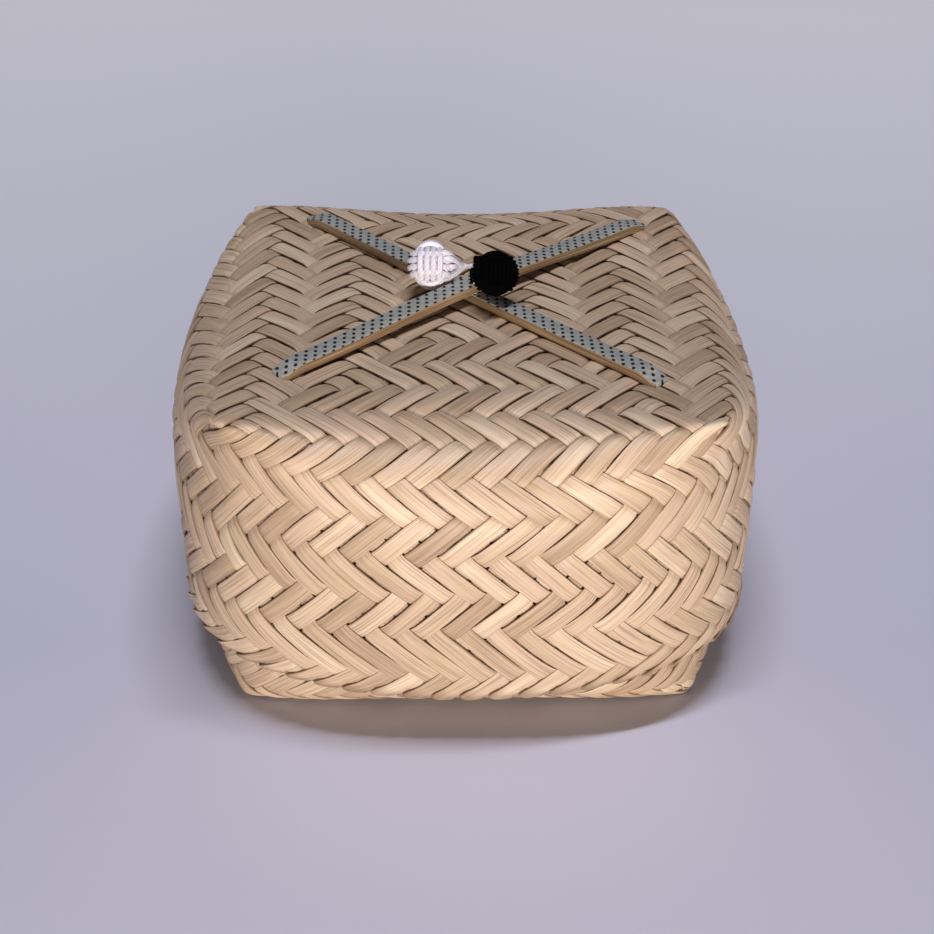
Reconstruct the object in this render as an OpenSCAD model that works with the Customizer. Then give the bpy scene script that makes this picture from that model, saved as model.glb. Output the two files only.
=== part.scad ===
// Lidded tea basket woven from bamboo splints. A deep lid slides over a base of nearly its own
// height, two slats crossed on the lid stiffen it, and two corded knots are tied at their crossing.
// The origin is on the ground, under the middle of the base. Z is up and X runs along the front.

/* [Lid basket] */
// Side of the lid's square top, from corner point to corner point
lid_side = 160; // [140:1:180]
// Height of the top's corner points above the ground
lid_height = 111; // [100:1:125]
// Height of the lid's rim above the ground
lid_rim_height = 20.5; // [14:0.5:28]
// Width of the lid's rim across the middles of its sides
lid_rim_width = 201; // [188:1:214]
// Width of the lid's rim across its rounded corners
lid_rim_diagonal = 223; // [212:1:234]
// How far the middle of the top lies below its corner points
lid_sag = 2; // [0:0.5:5]
// How far the middle of each top edge lies below the corner points
lid_edge_drop = 5.5; // [2:0.5:9]
// How far the middle of each top edge stands out from the line between its corner points
lid_edge_bulge = 2.7; // [0.5:0.1:5]
// Slope at which the top runs over its edge, in degrees
lid_edge_slope = 16; // [5:1:30]
// Reach of the shoulder's curve beyond the top edge
lid_shoulder = 36; // [28:1:42]

/* [Base basket] */
// Side of the base's square foot, from corner point to corner point
base_side = 154; // [138:1:160]
// How far the middle of each foot edge is lifted off the ground
base_edge_lift = 3.5; // [1:0.5:6]
// How far the middle of each foot edge stands out from the line between its corner points
base_edge_bulge = 1.5; // [0.5:0.1:4]
// How far the corner points of the foot are lifted off the ground
base_corner_lift = 0.4; // [0.2:0.1:1.5]
// Width of the sloping border between the flat floor and the foot edge
base_border = 9; // [6:0.5:14]

/* [Weave] */
// Thickness of the woven wall
wall = 2; // [1.6:0.1:2.6]
// Depth of the dips between the weave's rings, where splints pass under the next ring
weave_relief = 0.7; // [0.3:0.1:0.8]
// Thickness of the single layer that is left outside the rim's core
rim_layer = 1; // [0.8:0.1:1.3]
// Height of the folded rim
rim_fold_height = 8; // [6:0.5:11]
// Thickness of the folded-in ends
rim_flap = 0.8; // [0.6:0.1:1.2]
// Thickness of the core hoop in the rim
core_thickness = 1.2; // [0.9:0.1:1.8]
// Height of the core hoop in the rim
core_height = 5; // [3:0.5:6]
// Play around the core hoop
core_play = 0.3; // [0.2:0.05:0.4]
// Gap between the lid and the base where the lid rests
lid_gap = 0.5; // [0.3:0.1:1]

/* [Slats] */
// Width of a slat
slat_width = 7.5; // [5:0.1:9]
// Thickness of a slat
slat_thickness = 3; // [2:0.1:4]
// Length of a slat along the lid
slat_length = 170; // [140:1:184]
// Length over which each slat end narrows
slat_taper = 9; // [5:0.5:14]
// Width left at the tip of a slat
slat_tip = 3; // [1.5:0.1:4]
// Direction of the upper slat, in degrees from X
upper_turn = 41.5; // [38:0.5:48]
// Direction of the lower slat, in degrees from X
lower_turn = 133.5; // [130:0.5:140]
// Crossing of the slats, to the right of the centre
cross_x = 2.6; // [-4:0.1:4]
// Crossing of the slats, behind the centre
cross_y = 6.7; // [-4:0.1:8]
// Width of the ribbon glued along a slat
tape_width = 6.9; // [4.5:0.1:8]
// Thickness of the ribbon
tape_thickness = 0.3; // [0.2:0.05:0.5]
// Gap under a slat and between a slat and its ribbon
seat_gap = 0.15; // [0.05:0.05:0.3]

/* [Knots] */
// Diameter of the white knot
white_diameter = 17.8; // [14:0.1:20]
// Diameter of the black knot
black_diameter = 16.4; // [13:0.1:18]
// Diameter of the bead inside a knot
bead_diameter = 10; // [7:0.1:11]
// Play around the bead
bead_play = 0.15; // [0.1:0.05:0.3]
// Diameter of the cord that the knots are tied from
cord_diameter = 2; // [1.4:0.1:2.4]
// Diameter of the cord that lashes the crossing
lashing_diameter = 1.6; // [1:0.1:2]
// Play around the lashing in the hole that is drilled through both slats
lashing_play = 0.3; // [0.2:0.05:0.5]
// Gap between a knot's cord and the lashing
tie_gap = 0.3; // [0.3:0.05:0.6]

/* [Hidden] */
$fn = 48;

side_steps = 16;            // facets along each of the four sides
ring_points = 4 * side_steps;
wall_steps = 12;            // rows down a wall to its folded rim: crests and dips of the weave
top_steps = 11;             // rows from the middle of the top to its edge, the first in a dip
lining_steps = 12;          // rows of the smoother inside, down a wall
ceiling_steps = 6;          // and across the top
slat_steps = 24;            // facets along a slat
squareness = 60;            // exponent of the squarest section that is drawn
roundness = 0.8;            // share of even turning in the spacing around the rim
floor_cut = 1;              // what is drawn below the ground and cut off flat
fold_floor = 1.2;           // thickness of the rim's fold below its core
fold_run_out = 2;           // height over which the folded rim thins to the wall

// ---- curves ----

// Point at t on the cubic Bezier curve with the four control points p
function bezier(p, t) =
    pow(1 - t, 3) * p[0] + 3 * pow(1 - t, 2) * t * p[1] + 3 * (1 - t) * t * t * p[2] + pow(t, 3) * p[3];

// Place on that curve where one coordinate (0 out, 1 height) reaches a target, found by halving
function place_at(p, coordinate, target, low = 0, high = 1, tries = 24) =
    let (middle = (low + high) / 2, here = bezier(p, middle)[coordinate],
         rising = bezier(p, high)[coordinate] > bezier(p, low)[coordinate])
    tries == 0 ? middle
    : (here < target) == rising ? place_at(p, coordinate, target, middle, high, tries - 1)
    : place_at(p, coordinate, target, low, middle, tries - 1);

// Distance from the axis to a rounded-square section, at an angle from the middle of a side.
// The section is half as wide as middle across its sides and reaches corner on its diagonals.
function section_radius(middle, corner, angle) =
    let (power = max(ln(sqrt(2) * middle / corner) / ln(2), 1 / squareness))
    middle * pow(1 + pow(abs(tan(angle)), 1 / power), -power) / cos(angle);

// Angle of the point q along a side, where q runs from -1 to 1. Spread evenly along a straight
// side at even = 0, and evenly in angle at even = 1.
function side_angle(q, even) = (1 - even) * atan(q) + even * 45 * q;

// One ring of points: middle and corner are [distance out, height] on a side and on a diagonal
function ring(middle, corner, even) =
    [for (side = [0:3], step = [0:side_steps - 1])
        let (q = 2 * step / side_steps - 1,
             angle = side_angle(q, even),
             radius = section_radius(middle[0], corner[0], angle),
             height = corner[1] + (middle[1] - corner[1]) * pow(1 - q * q, 2))
        [radius * cos(90 * side + angle), radius * sin(90 * side + angle), height]];

// ---- the lid's surface: curves in [distance out, height] ----

lid_centre_height = lid_height - lid_sag;
lid_edge = [lid_side / 2 + lid_edge_bulge, lid_height - lid_edge_drop];
lid_slope = [cos(lid_edge_slope), -sin(lid_edge_slope)];
lid_corner_reach = lid_side / sqrt(2);
edge_run = 0.15;            // pull of the top's curve back from its edge, as a share of the side
rim_lean = 17.3;            // height of the control point above the rim
rim_flare = 9;              // how far that point lies inside the rim on the sides
rim_tuck = 8.7;             // how far it lies outside the rim on the diagonals
corner_tuck = [13.2, 22];   // pull of the corner's curve below the corner point, in and down
corner_draw = 1.2;          // how far an inset reaches in at the corner points, for each mm of it

// inset moves a curve inwards by that much, along the surface's normal
function top_middle(inset) = let (down = [0, -inset], under = [lid_slope[1], -lid_slope[0]] * inset)
    [[0, lid_centre_height] + down, [lid_side / 6, lid_centre_height] + down,
     lid_edge - lid_slope * lid_side * edge_run + under, lid_edge + under];
function wall_middle(inset) = let (under = [lid_slope[1], -lid_slope[0]] * inset)
    [lid_edge + under, lid_edge + lid_slope * lid_shoulder + under,
     [lid_rim_width / 2 - rim_flare - inset, lid_rim_height + rim_lean],
     [lid_rim_width / 2 - inset, lid_rim_height]];
function wall_corner(inset) =
    [[lid_corner_reach - corner_draw * inset, lid_height - inset],
     [lid_corner_reach - corner_tuck[0] - corner_draw * inset, lid_height - corner_tuck[1] - inset / 2],
     [lid_rim_diagonal / 2 + rim_tuck - inset, lid_rim_height + rim_lean],
     [lid_rim_diagonal / 2 - inset, lid_rim_height]];

function top_ring(t, inset) =
    ring(bezier(top_middle(inset), t),
         [t * (lid_corner_reach - corner_draw * inset), lid_centre_height + lid_sag * t * t - inset], 0);
function even_at(t) = roundness * (1 - pow(1 - t, 2));
function lid_wall_ring(t, inset) =
    ring(bezier(wall_middle(inset), t), bezier(wall_corner(inset), t), even_at(t));

// Height of the lid's upper surface at a place on the top
function top_height(x, y) =
    let (far = max(abs(x), abs(y), 0.01), q = min(abs(x), abs(y)) / far,
         t = min(far / (lid_side / 2), 1), corner = lid_centre_height + lid_sag * t * t)
    corner + (bezier(top_middle(0), t)[1] - corner) * pow(1 - q * q, 2);

// ---- the base's surface, which follows the inside of the lid ----

rim_hem = rim_layer + core_thickness + 2 * core_play + rim_flap;

// The throat is the narrowest way through the lid's folded rim: the base passes it with lid_gap
function lid_place(height) = place_at(wall_middle(0), 1, lid_rim_height + height);
throat_middle = min([for (height = [0, rim_fold_height + fold_run_out])
    bezier(wall_middle(0), lid_place(height))[0]]) - rim_hem - lid_gap;
throat_corner = lid_rim_diagonal / 2 - rim_hem - lid_gap;

// The base's rim rests where the lid's shoulder closes in on it
seat = place_at(wall_middle(wall + lid_gap), 0, throat_middle - lid_gap, 0, 0.5);
rim_height = bezier(wall_middle(wall + lid_gap), seat)[1];
shoulder_corner = bezier(wall_corner(wall + lid_gap),
                         place_at(wall_corner(0), 1, rim_height))[0];
rim_middle = [throat_middle - lid_gap, rim_height];
rim_corner = [min(throat_corner, shoulder_corner) - lid_gap, rim_height];
foot_middle = [base_side / 2 + base_edge_bulge, base_edge_lift];
foot_corner = [base_side / sqrt(2), base_corner_lift];
foot_under = [-0.3, 0.95];  // way that an inset moves at the foot's sides, out and up
foot_rise = 2.5;            // height of the sides' first pull, against the lift of the foot edge
corner_rise = 12;           // height of the corners' first pull above the ground
corner_ease = 2;            // how far that pull stays inside the throat
waist = 3;                  // how far the base's sides draw in between its belly and its rim
corner_waist = 1;           // how far its corners draw in there
waist_height = 0.6;         // height of that draw, as a share of the rim's
belly = 0.4;                // place along the base's wall curve that just passes the throat
belly_pull = (throat_middle - lid_gap - pow(1 - belly, 3) * foot_middle[0]
              - 3 * (1 - belly) * pow(belly, 2) * (rim_middle[0] - waist)
              - pow(belly, 3) * rim_middle[0]) / (3 * pow(1 - belly, 2) * belly);

function base_middle(inset) =
    [foot_middle + foot_under * inset,
     [belly_pull, foot_rise * base_edge_lift] + [-0.6, 0.8] * inset,
     [rim_middle[0] - waist - inset, waist_height * rim_height], rim_middle - [inset, 0]];
function base_corner(inset) =
    [foot_corner + [-corner_draw, 1] * inset,
     [throat_corner - corner_ease - corner_draw * inset, corner_rise + inset / 2],
     [rim_corner[0] - corner_waist - inset, waist_height * rim_height], rim_corner - [inset, 0]];
function base_place(height) = place_at(base_middle(0), 1, rim_height - height);
function base_wall_ring(t, inset) =
    ring(bezier(base_middle(inset), t), bezier(base_corner(inset), t), even_at(t));
floor_draw = 1.3;           // width of the floor's border on the diagonals, against the sides
function floor_ring(border, height) =
    ring([foot_middle[0] - border, height], [foot_corner[0] - floor_draw * border, height], 0);

// How far a row of the outside is set in: every other one lies between two rings of the weave
function dip(row, first) = row % 2 == first ? weave_relief : 0;

// ---- closed solids from rings of points ----

function flat(lists) = [for (list = lists) each list];
function band(low, high, count) =
    flat([for (i = [0:count - 1]) let (j = (i + 1) % count)
        [[low + i, high + i, high + j], [low + i, high + j, low + j]]]);

// A hoop: its rings go once around the section, up on the outside and down on the inside
module hoop(rings) {
    count = len(rings[0]);
    polyhedron(flat(rings), flat([for (k = [0:len(rings) - 1])
        band(k * count, (k + 1) % len(rings) * count, count)]));
}

// A cup: its rings go from just beside the first apex, around the rim, to just beside the last
module cup(first_apex, rings, last_apex) {
    count = len(rings[0]);
    last = (len(rings) - 1) * count;
    first_tip = len(rings) * count;
    polyhedron(concat(flat(rings), [first_apex, last_apex]), concat(
        flat([for (k = [0:len(rings) - 2]) band((k + 1) * count, k * count, count)]),
        [for (i = [0:count - 1]) [first_tip, (i + 1) % count, i]],
        [for (i = [0:count - 1]) [first_tip + 1, last + i, last + (i + 1) % count]]));
}

// A bent bar: its rings go from end to end
module bar(rings) {
    count = len(rings[0]);
    last = (len(rings) - 1) * count;
    polyhedron(flat(rings), concat(
        flat([for (k = [0:len(rings) - 2]) band(k * count, (k + 1) * count, count)]),
        [[for (i = [0:count - 1]) i], [for (i = [count - 1:-1:0]) last + i]]));
}

// ---- the folded rim, the same on both baskets ----

channel_out = rim_layer;
channel_in = rim_hem - rim_flap;
core_low = fold_floor + core_play;
core_top = core_low + core_height;
channel_top = max(rim_fold_height, core_top + core_play);

// Rings from the outside of the rim, around the fold and its channel, to the wall's inner face.
// Each is [height from the rim, inset]; the channel is open towards the basket's inside.
rim_profile = [[core_top, 0], [0, 0], [0, rim_hem], [core_top, rim_hem], [channel_top, rim_hem],
               [channel_top, channel_in], [core_top, channel_in], [fold_floor, channel_in],
               [fold_floor, channel_out], [core_top, channel_out], [channel_top, channel_out],
               [channel_top + fold_run_out, wall]];
core_profile = [[core_low, channel_out + core_play], [core_low, channel_in - core_play],
                [core_top, channel_in - core_play], [core_top, channel_out + core_play]];

module lid_basket() {
    color("#cbb48f")
        cup([0, 0, lid_centre_height],
            concat([for (k = [1:top_steps - 1]) top_ring(k / top_steps, dip(k, 1))],
                   [top_ring(1, 0)],
                   [for (k = [1:wall_steps - 1])
                       lid_wall_ring(lid_place(channel_top) * k / wall_steps, dip(k, 0))],
                   [for (p = rim_profile) lid_wall_ring(lid_place(p[0]), p[1])],
                   [for (k = [lining_steps - 1:-1:1])
                       lid_wall_ring(lid_place(channel_top + fold_run_out) * k / lining_steps, wall)],
                   [for (k = [ceiling_steps:-1:1]) top_ring(k / ceiling_steps, wall)]),
            [0, 0, lid_centre_height - wall]);
}

module lid_rim_core() {
    color("#b3966a")
        hoop([for (k = [len(core_profile) - 1:-1:0])
            lid_wall_ring(lid_place(core_profile[k][0]), core_profile[k][1])]);
}

module base_basket() {
    color("#c2aa84") difference() {
        cup([0, 0, wall],
            concat([floor_ring(base_border + wall, wall)],
                   [for (k = [0:lining_steps - 1])
                       base_wall_ring(base_place(channel_top + fold_run_out) * k / lining_steps, wall)],
                   [for (k = [len(rim_profile) - 1:-1:0])
                       base_wall_ring(base_place(rim_profile[k][0]), rim_profile[k][1])],
                   [for (k = [wall_steps - 1:-1:1])
                       base_wall_ring(base_place(channel_top) * k / wall_steps, dip(k, 0))],
                   [base_wall_ring(0, 0), floor_ring(base_border, -floor_cut)]),
            [0, 0, -floor_cut]);
        translate([-base_side, -base_side, -2 * floor_cut])
            cube([2 * base_side, 2 * base_side, 2 * floor_cut]);
    }
}

module base_rim_core() {
    color("#b3966a")
        hoop([for (p = core_profile) base_wall_ring(base_place(p[0]), p[1])]);
}

// ---- slats and ribbons on the lid ----

slat_lift = slat_thickness + tape_thickness + 2 * seat_gap;
front_reach = 2.6;          // distance of the lashing's hole in front of the crossing
back_reach = 7.3;           // distance of its other leg behind the crossing

// Place on a slat's underside, s along it from the crossing, raised by lift at the crossing
function slat_place(s, turn, lift) =
    let (x = cross_x + s * cos(turn), y = cross_y + s * sin(turn))
    [x, y, top_height(x, y) + seat_gap + lift * (1 + cos(180 * min(abs(s) * 2 / slat_length, 1))) / 2];
function slat_half_width(s, width) =
    let (from_end = slat_length / 2 - abs(s))
    (slat_tip + (width - slat_tip) * min(from_end / slat_taper, 1)) / 2;
function slat_ring(s, turn, lift, width, low, high) =
    let (place = slat_place(s, turn, lift),
         across = [-sin(turn), cos(turn), 0] * slat_half_width(s, width))
    [place - across + [0, 0, low], place + across + [0, 0, low],
     place + across + [0, 0, high], place - across + [0, 0, high]];

// The bar has the lashing's hole drilled through it
module strip(turn, lift, width, low, high) {
    difference() {
        bar([for (k = [0:slat_steps])
            slat_ring((k / slat_steps - 0.5) * slat_length, turn, lift, width, low, high)]);
        translate([cross_x, cross_y - front_reach, lid_centre_height])
            cylinder(h = 4 * slat_lift, d = lashing_diameter + 2 * lashing_play, center = true);
    }
}

module slat(turn, lift) color("#c9ae7c") strip(turn, lift, slat_width, 0, slat_thickness);
tape_under = slat_thickness + seat_gap / 2;
module tape(turn, lift) color("#9aa19f")
    strip(turn, lift, tape_width, tape_under, tape_under + tape_thickness);

module lower_slat() slat(lower_turn, 0);
module upper_slat() slat(upper_turn, slat_lift);
module lower_tape() tape(lower_turn, 0);
module upper_tape() tape(upper_turn, slat_lift);

// ---- lashing and knots ----

// A round cord from one point to another
module cord(from, to, diameter) {
    run = to - from;
    translate(from)
        rotate([0, acos(run[2] / norm(run)), atan2(run[1], run[0])])
            cylinder(h = norm(run), d = diameter);
}

lashing_top = top_height(cross_x, cross_y) + slat_lift + slat_thickness + tape_thickness
              + 2 * seat_gap + lashing_diameter / 2;
lashing_foot = lid_centre_height - wall - lashing_diameter / 2 - seat_gap;
knuckle = 1.3;              // size of the lashing's bends against its cord
under_knot = 2.6;           // size of the knot that ends it under the top, against its cord

module cross_lashing() {
    legs = [cross_y - front_reach, cross_y + back_reach];
    color("#1b1b1d") {
        for (y = legs)
            cord([cross_x, y, lashing_foot], [cross_x, y, lashing_top], lashing_diameter);
        for (height = [lashing_foot, lashing_top])
            cord([cross_x, legs[0], height], [cross_x, legs[1], height], lashing_diameter);
        for (y = legs, height = [lashing_foot, lashing_top])
            translate([cross_x, y, height]) sphere(d = lashing_diameter * knuckle);
        translate([cross_x, cross_y, lashing_foot - lashing_diameter / 2])
            sphere(d = lashing_diameter * under_knot);
    }
}

// Where each knot's cord is held, beside the lashing
tie_side = lashing_diameter / 2 + tie_gap + cord_diameter / 2;
tie_back = 2;               // how far behind the crossing
tie_rise = 0.6;             // how far above the middle of the lashing's cord
white_tie = [cross_x - tie_side, cross_y + tie_back, lashing_top + tie_rise];
black_tie = [cross_x + tie_side, cross_y + tie_back, lashing_top + tie_rise];

// Where each knot lies: to the right of the centre, behind it, and its underside above the top
white_place = [-11.6, 9.3, 3.2];
black_place = [9.7, -0.9, 5.5];
function knot_centre(place, diameter) = place + [0, 0, lid_centre_height + diameter / 2];
white_centre = knot_centre(white_place, white_diameter);
black_centre = knot_centre(black_place, black_diameter);

// A knot wound around a bead, with the neck of its cord
module knot(centre, tie, diameter, paint) {
    color(paint) {
        difference() {
            translate(centre) sphere(d = diameter);
            translate(centre) sphere(d = bead_diameter + 2 * bead_play);
        }
        difference() {
            union() {
                cord(tie, centre, cord_diameter);
                translate(tie) sphere(d = cord_diameter);
            }
            translate(centre) sphere(d = (diameter + bead_diameter) / 2);
        }
    }
}
module bead(centre) color("#d8c39c") translate(centre) sphere(d = bead_diameter);

module white_knot() knot(white_centre, white_tie, white_diameter, "#e9e7ec");
module white_knot_bead() bead(white_centre);
module black_knot() knot(black_centre, black_tie, black_diameter, "#1b1b1d");
module black_knot_bead() bead(black_centre);

base_basket();
base_rim_core();
lid_basket();
lid_rim_core();
lower_slat();
upper_slat();
lower_tape();
upper_tape();
cross_lashing();
white_knot();
white_knot_bead();
black_knot();
black_knot_bead();
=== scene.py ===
# %% [markdown]
# # A woven bamboo tea basket with a deep lid
#
# The real basket is two square baskets of split bamboo. A tall one, the lid, slides right down over
# the other, the base. Two bamboo slats lie crossed on the lid under a dotted ribbon, and two cords
# that lash them end in ball knots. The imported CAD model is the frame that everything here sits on.

# %% Load the frame
import bpy
import numpy as np
from mathutils import Matrix, Vector


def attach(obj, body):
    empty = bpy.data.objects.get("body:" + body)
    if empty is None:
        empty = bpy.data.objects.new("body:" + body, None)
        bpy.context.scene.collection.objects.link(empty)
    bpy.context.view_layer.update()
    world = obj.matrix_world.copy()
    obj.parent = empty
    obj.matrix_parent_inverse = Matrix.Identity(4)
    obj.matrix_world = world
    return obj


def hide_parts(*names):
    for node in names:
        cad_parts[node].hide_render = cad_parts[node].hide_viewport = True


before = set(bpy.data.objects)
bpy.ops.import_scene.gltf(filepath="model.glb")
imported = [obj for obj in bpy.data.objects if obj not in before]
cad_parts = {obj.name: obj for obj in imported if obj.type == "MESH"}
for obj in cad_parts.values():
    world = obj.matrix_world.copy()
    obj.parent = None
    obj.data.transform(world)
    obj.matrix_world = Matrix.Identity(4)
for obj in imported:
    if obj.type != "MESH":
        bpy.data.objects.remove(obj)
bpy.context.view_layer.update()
MM = 0.001

# %% [markdown]
# ## The camera
#
# The basket is looked at from the front, a hand's height above it, with a short telephoto lens. The
# camera's axes are worked out from its pitch, its small turn around the basket and its slight roll,
# and written straight into its matrix.

# %% Camera
CAMERA_DISTANCE = 628.1 * MM
CAMERA_PITCH, CAMERA_TURN, CAMERA_ROLL = np.radians([33.06, 1.756, -0.83])
CAMERA_TARGET = np.array([1.2, 0, 43.2]) * MM
LENS, SENSOR = 66.26, 36.0


def turned(x, y, z, angle):
    """Points turned about Z by an angle: x' = x cos - y sin, y' = x sin + y cos."""
    return np.stack([x * np.cos(angle) - y * np.sin(angle), x * np.sin(angle) + y * np.cos(angle), z], -1)


forward = np.array([0, np.cos(CAMERA_PITCH), -np.sin(CAMERA_PITCH)])
rightward = np.array([1.0, 0, 0])
upward = np.cross(rightward, forward)
roll_cos, roll_sin = np.cos(CAMERA_ROLL), np.sin(CAMERA_ROLL)
axes = [roll_cos * rightward - roll_sin * upward, roll_sin * rightward + roll_cos * upward, -forward]
place = CAMERA_TARGET - forward * CAMERA_DISTANCE
camera = bpy.data.objects.new("camera", bpy.data.cameras.new("camera"))
camera.data.lens, camera.data.sensor_width = LENS, SENSOR
camera.data.clip_start, camera.data.clip_end = 0.01, 20
columns = [turned(*axis, -CAMERA_TURN) for axis in axes + [place]]
camera.matrix_world = Matrix([[*(col[k] for col in columns)] for k in range(3)] + [[0, 0, 0, 1]])
bpy.context.scene.collection.objects.link(camera)
bpy.context.scene.camera = camera
print("camera stands at", np.round(columns[3] / MM), "mm")

# %% [markdown]
# ## The shape of the two baskets
#
# A basket woven on the bias starts as a flat square and is bent up or down along its edges, so its
# walls swell between square ends. Each basket's skin is a stack of rounded squares. Two curves give
# each square its reach and height, one over the middles of the sides and one over the corners.
# These are the same curves as in the CAD solids, in millimetres, as [distance out, height]. The
# lid's rim also sags in the middle of each side, where the weave is slack, by hem_sag. The base's
# floor lies 0.25 mm up, so that its splints don't dip into the ground.

# %% Curves of the skins
HALF = 16.5          # half the side of the woven square, in lattice units: 33 splints each way
DEPTH = 21.0         # lattice units down a wall, from the fold to the rim
EDGE_SLOPE = np.radians(16)            # how steeply the lid's top falls at the middle of an edge
EDGE = np.array([82.7, 105.5])         # the middle of an edge of the lid's top
EDGE_WAY = np.array([np.cos(EDGE_SLOPE), -np.sin(EDGE_SLOPE)])
LID = {
    "name": "lid", "outward": 1, "corner": 113.14, "centre": 109.0, "sag": 2.0, "hem_sag": 4.0,
    "flat": [[0, 109], [160 / 6, 109], EDGE - 24 * EDGE_WAY, EDGE],
    "wall_middle": [EDGE, EDGE + 36 * EDGE_WAY, [91.5, 37.8], [100.5, 20.5]],
    "wall_corner": [[113.14, 111], [99.94, 89], [120.2, 37.8], [111.5, 20.5]],
}
BASE = {
    "name": "base", "outward": -1, "corner": 108.9, "centre": 0.25, "sag": 0.4, "hem_sag": 0.0,
    "flat": [[0, 0.25], [46, 0.25], [67, -0.05], [78.5, 3.5]],
    "wall_middle": [[78.5, 3.5], [103.576, 8.75], [90.884, 57.386], [93.884, 95.64]],
    "wall_corner": [[108.9, 0.4], [105.4, 12], [104.349, 57.386], [105.349, 95.64]],
}
print("the lid's wall reaches down to", LID["wall_middle"][-1][1] - LID["hem_sag"], "mm above the ground")

# %% [markdown]
# Every curve is a cubic Bezier with two handles, and every level of a wall is one rounded square.
# The skins could be lofted from curve objects, but that would give points on a grid only. A formula
# gives the point at any place, which the splints need, because they cross the skin slantwise.

# %% Curves and rounded squares
SQUARENESS = 60      # exponent of the squarest section


def smooth(x):
    """Smooth step 3x^2 - 2x^3 between 0 and 1."""
    x = np.clip(x, 0, 1)
    return x * x * (3 - 2 * x)


def cubic(points, t):
    """Cubic Bezier curve: the four control points weighted by (1-t)^3, 3(1-t)^2 t, 3(1-t) t^2, t^3."""
    p, t = np.asarray(points, float), np.asarray(t, float)[..., None]
    return (1 - t) ** 3 * p[0] + 3 * (1 - t) ** 2 * t * p[1] + 3 * (1 - t) * t**2 * p[2] + t**3 * p[3]


def rounded_square(middle, corner, q, even, side):
    """Point of a ring. The radius is middle (1 + |tan a|^(1/p))^-p / cos a, with p = log2 of how much
    closer the corner is than a sharp one's. The height goes from the corner's to the middle's as
    (1 - q^2)^2, and q runs from -1 to 1 along each of the four sides."""
    angle = (1 - even) * np.arctan(q) + even * q * np.pi / 4
    power = np.maximum(np.log2(np.sqrt(2) * middle[..., 0] / corner[..., 0]), 1 / SQUARENESS)
    radius = middle[..., 0] * (1 + np.abs(np.tan(angle)) ** (1 / power)) ** -power / np.cos(angle)
    height = corner[..., 1] + (middle[..., 1] - corner[..., 1]) * (1 - q * q) ** 2
    turn = angle + side * np.pi / 2
    return np.stack([radius * np.cos(turn), radius * np.sin(turn), height], -1)


def bulge(q):
    """How far a bulging side stands out at q, from 0 at the corners to 1: 1 - q^6."""
    return 1 - q**6


reaches = cubic(LID["wall_middle"], np.linspace(0, 1))[:, 0]
print("the lid's walls reach out by", round(reaches.max(), 1), "mm")

# %% [markdown]
# A place on a skin is given in lattice units, one to each crossing of the weave, from the middle of
# the flat square. Split bamboo bends in a small round and never in a crease. A bevel would round the
# folds of a finished mesh, but here every point is averaged with its neighbours, which rounds the
# folds before the splints are laid on them.

# %% Points of a skin
ROUNDNESS = 0.8      # share of even turning around the rim
CORNER_RUN = 0.25    # share of a wall's height over which the corners of the top edge grow round
SOFTENING = 0.5      # lattice units between the four by four places that a point is averaged over


def wall_place(u, v):
    """Whether a place lies on a wall, how deep, and how far round from the middle of the home side.
    Where only v is beyond HALF, it lies on a neighbour's wall, and the way round goes on there."""
    on_wall = u > HALF
    depth = np.where(on_wall, u - HALF, np.abs(v) - HALF)
    return on_wall | (np.abs(v) > HALF), depth, np.where(on_wall, v, np.sign(v) * (2 * HALF - u))


def skin(basket, u, v, home):
    """Point on a basket's outer skin. u and v are lattice units on the flat square, seen from one
    home side: u beyond HALF goes down that side's wall, and v beyond the corner goes on round it.
    On the flat, each coordinate is a curve of u that eases to a straight line as v nears a corner.
    The lower half of a wall sags by hem_sag (1 - q^2)^3."""
    wall, depth, around = wall_place(u, v)
    wall_side = np.floor((around + HALF) / (2 * HALF))
    q = (around - 2 * HALF * wall_side) / HALF
    t = np.clip(depth / DEPTH, 0, 1)
    middle, corner = cubic(basket["wall_middle"], t), cubic(basket["wall_corner"], t)
    down = rounded_square(middle, corner, q, ROUNDNESS * (1 - (1 - t) ** 2), wall_side + home)
    sharp = corner[..., 0] / np.sqrt(2)
    x, y = sharp + (middle[..., 0] - sharp) * bulge(q), sharp * q
    edge = turned(x, y, down[..., 2], (wall_side + home) * np.pi / 2)
    down = edge + smooth(t / CORNER_RUN)[..., None] * (down - edge)
    down[..., 2] -= basket["hem_sag"] * smooth(2 * t - 1) * (1 - q**2) ** 3

    a, b = np.clip(u / HALF, -1, 1), np.clip(v / HALF, -1, 1)
    side = basket["corner"] / np.sqrt(2)
    out_a = np.sign(a) * cubic(basket["flat"], np.abs(a))[..., 0]
    out_b = np.sign(b) * cubic(basket["flat"], np.abs(b))[..., 0]
    x = side * a + (out_a - side * a) * bulge(b)
    y = side * b + (out_b - side * b) * bulge(a)
    reach = np.maximum(np.maximum(np.abs(a), np.abs(b)), 1e-4)
    least = np.minimum(np.abs(a), np.abs(b))
    high = basket["centre"] + basket["sag"] * reach**2
    z = high + (cubic(basket["flat"], reach)[..., 1] - high) * (1 - (least / reach) ** 2) ** 2
    return np.where(wall[..., None], down, turned(x, y, z, home * np.pi / 2))


def soft_skin(basket, u, v, home):
    """The skin with its folds softened: the mean of 16 places round each point, weighted 1 3 3 1 both
    ways. A point on a wall is first written as seen from that wall."""
    wall, depth, around = wall_place(u, v)
    side = np.where(wall, np.floor((around + HALF) / (2 * HALF)), 0)
    u, v = np.where(wall, HALF + depth, u), np.where(wall, around - 2 * HALF * side, v)
    weights = [(-1.5, 1 / 8), (-0.5, 3 / 8), (0.5, 3 / 8), (1.5, 1 / 8)]
    return sum(w * h * skin(basket, u + du * SOFTENING, v + dv * SOFTENING, home + side)
               for du, w in weights for dv, h in weights)


print("lid corner at", np.round(skin(LID, *np.array([[HALF], [HALF], [0]]))[0], 1), "mm")

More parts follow.
